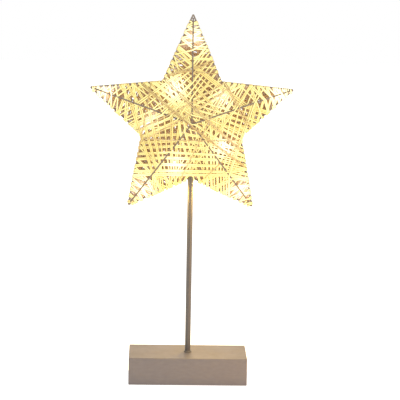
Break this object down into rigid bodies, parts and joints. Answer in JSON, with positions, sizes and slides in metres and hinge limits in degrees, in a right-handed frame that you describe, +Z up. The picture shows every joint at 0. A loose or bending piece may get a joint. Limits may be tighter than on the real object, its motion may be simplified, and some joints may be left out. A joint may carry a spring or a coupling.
{
  "type": "table lamp",
  "caption": "Five-pointed star of wire wound with thread and lit inside, on a slim round pole over a rectangular block that holds its cells, a switch and a hinged battery door.",
  "frame": {"origin": "middle of the face that the base stands on", "axes": "+Z up along the pole, -Y to the front of the star, +X to the right seen from the front"},
  "size_m": [0.2052, 0.0515, 0.3743],
  "materials": {
    "base_paint": "satin taupe paint",
    "cover_plastic": "moulded ABS, fine texture",
    "screw_steel": "zinc plated",
    "cell_jacket": null,
    "contact_nickel": "nickel plated",
    "knob_plastic": "black moulded plastic",
    "board_laminate": "green solder mask",
    "resistor_body": "tan lacquer",
    "lead_red": "PVC insulation",
    "lead_black": "PVC insulation",
    "lead_clear": "clear amber PVC insulation over copper",
    "pole_paint": "satin grey-brown paint",
    "frame_wire": "dark painted wire",
    "paper_thread": "twisted paper thread, wound with gaps",
    "led_epoxy": "clear epoxy, lit warm white"
  },
  "bodies": {
    "lamp": {"base_shell": "base_paint", "bottom_cover": "cover_plastic", "cover_screws": "screw_steel", "battery_holder": "cover_plastic", "holder_screws": "screw_steel", "aa_cell_1": "cell_jacket", "aa_cell_2": "cell_jacket", "aa_cell_3": "cell_jacket", "negative_contact": "contact_nickel", "positive_contact": "contact_nickel", "left_bridge": "contact_nickel", "right_bridge": "contact_nickel", "switch_body": "contact_nickel", "switch_screws": "screw_steel", "circuit_board": "board_laminate", "board_screws": "screw_steel", "dropping_resistor": "resistor_body", "battery_lead_red": "lead_red", "battery_lead_black": "lead_black", "switch_leads": "lead_black", "lamp_lead_plus": "lead_clear", "lamp_lead_minus": "lead_clear", "pole": "pole_paint", "pole_collar": "pole_paint", "pole_washer": "screw_steel", "pole_nut": "screw_steel", "star_sleeve": "pole_paint", "outline_wire": "frame_wire", "front_ridge_wires": "frame_wire", "back_ridge_wires": "frame_wire", "thread_winding": "paper_thread", "led_1": "led_epoxy", "led_2": "led_epoxy", "led_3": "led_epoxy", "led_4": "led_epoxy", "led_5": "led_epoxy", "led_6": "led_epoxy", "led_7": "led_epoxy", "led_8": "led_epoxy", "led_9": "led_epoxy", "led_10": "led_epoxy"},
    "battery_door": {"battery_door": "cover_plastic"},
    "switch_knob": {"switch_knob": "knob_plastic"}
  },
  "joints": [
    {"name": "battery_door_hinge", "type": "hinge", "parent": "lamp", "child": "battery_door", "pos_m": [0.0032, 0, 0.0024], "axis": [0, -1, 0], "range_deg": [0, 90]},
    {"name": "switch_slide", "type": "slide", "parent": "lamp", "child": "switch_knob", "axis": [1, 0, 0], "range_m": [0, 0.003]}
  ]
}
